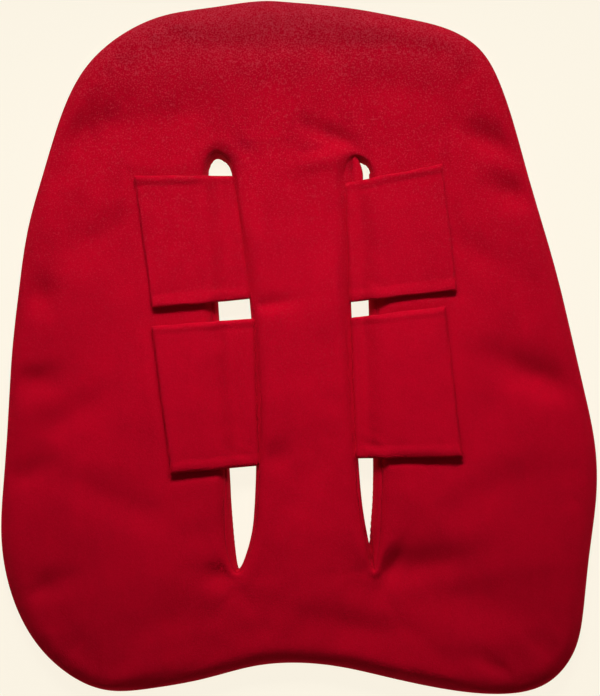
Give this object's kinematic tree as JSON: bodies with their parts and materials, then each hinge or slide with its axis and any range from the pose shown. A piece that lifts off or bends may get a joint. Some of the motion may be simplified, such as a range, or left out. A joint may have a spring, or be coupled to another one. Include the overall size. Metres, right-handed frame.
{
  "type": "groin protector",
  "caption": "Flat, padded groin protector panel in brushed fabric, with two long strap slots and four hook-tape flaps that fold over a harness strap.",
  "frame": {"origin": "under the middle of the panel, on the plane of its flat back face", "axes": "+Z out of the front face, +Y along the spine towards the waist edge, +X to the right of someone who looks at the front face"},
  "size_m": [0.2993, 0.3512, 0.0143],
  "materials": {
    "cover_fabric": "brushed loop knit, matt with a soft nap",
    "back_fabric": "brushed loop knit, matt",
    "firm_foam": "closed-cell foam, matt",
    "soft_foam": "open-cell foam, matt",
    "hook_tape": "woven tape with plastic hooks",
    "thread": "spun polyester thread"
  },
  "bodies": {
    "pad": {"back_cover": "back_fabric", "front_cover": "cover_fabric", "impact_foam": "firm_foam", "comfort_foam": "soft_foam", "perimeter_stitching": "thread", "slot_facing_left": "cover_fabric", "slot_facing_right": "cover_fabric", "slot_stitching_left": "thread", "slot_stitching_right": "thread", "flap_upper_left_sewn_tail": "cover_fabric", "flap_upper_left_root_stitching": "thread", "flap_lower_left_sewn_tail": "cover_fabric", "flap_lower_left_root_stitching": "thread", "flap_upper_right_sewn_tail": "cover_fabric", "flap_upper_right_root_stitching": "thread", "flap_lower_right_sewn_tail": "cover_fabric", "flap_lower_right_root_stitching": "thread"},
    "flap_upper_left": {"flap_upper_left_cover": "cover_fabric", "flap_upper_left_interlining": "soft_foam", "flap_upper_left_hook_tape": "hook_tape", "flap_upper_left_tape_stitching": "thread"},
    "flap_lower_left": {"flap_lower_left_cover": "cover_fabric", "flap_lower_left_interlining": "soft_foam", "flap_lower_left_hook_tape": "hook_tape", "flap_lower_left_tape_stitching": "thread"},
    "flap_upper_right": {"flap_upper_right_cover": "cover_fabric", "flap_upper_right_interlining": "soft_foam", "flap_upper_right_hook_tape": "hook_tape", "flap_upper_right_tape_stitching": "thread"},
    "flap_lower_right": {"flap_lower_right_cover": "cover_fabric", "flap_lower_right_interlining": "soft_foam", "flap_lower_right_hook_tape": "hook_tape", "flap_lower_right_tape_stitching": "thread"}
  },
  "joints": [
    {"name": "flap_upper_left_fold", "type": "hinge", "parent": "pad", "child": "flap_upper_left", "pos_m": [-0.0229, 0.05785, 0.013], "axis": [-0.1038, 0.9946, 0], "range_deg": [0, 110]},
    {"name": "flap_lower_left_fold", "type": "hinge", "parent": "pad", "child": "flap_lower_left", "pos_m": [-0.01875, -0.01965, 0.013], "axis": [0.0041, 1, 0], "range_deg": [0, 110]},
    {"name": "flap_upper_right_fold", "type": "hinge", "parent": "pad", "child": "flap_upper_right", "pos_m": [0.0287, 0.053, 0.013], "axis": [0.0034, -1, 0], "range_deg": [0, 110]},
    {"name": "flap_lower_right_fold", "type": "hinge", "parent": "pad", "child": "flap_lower_right", "pos_m": [0.0288, -0.0196, 0.013], "axis": [0, -1, 0], "range_deg": [0, 110]}
  ]
}
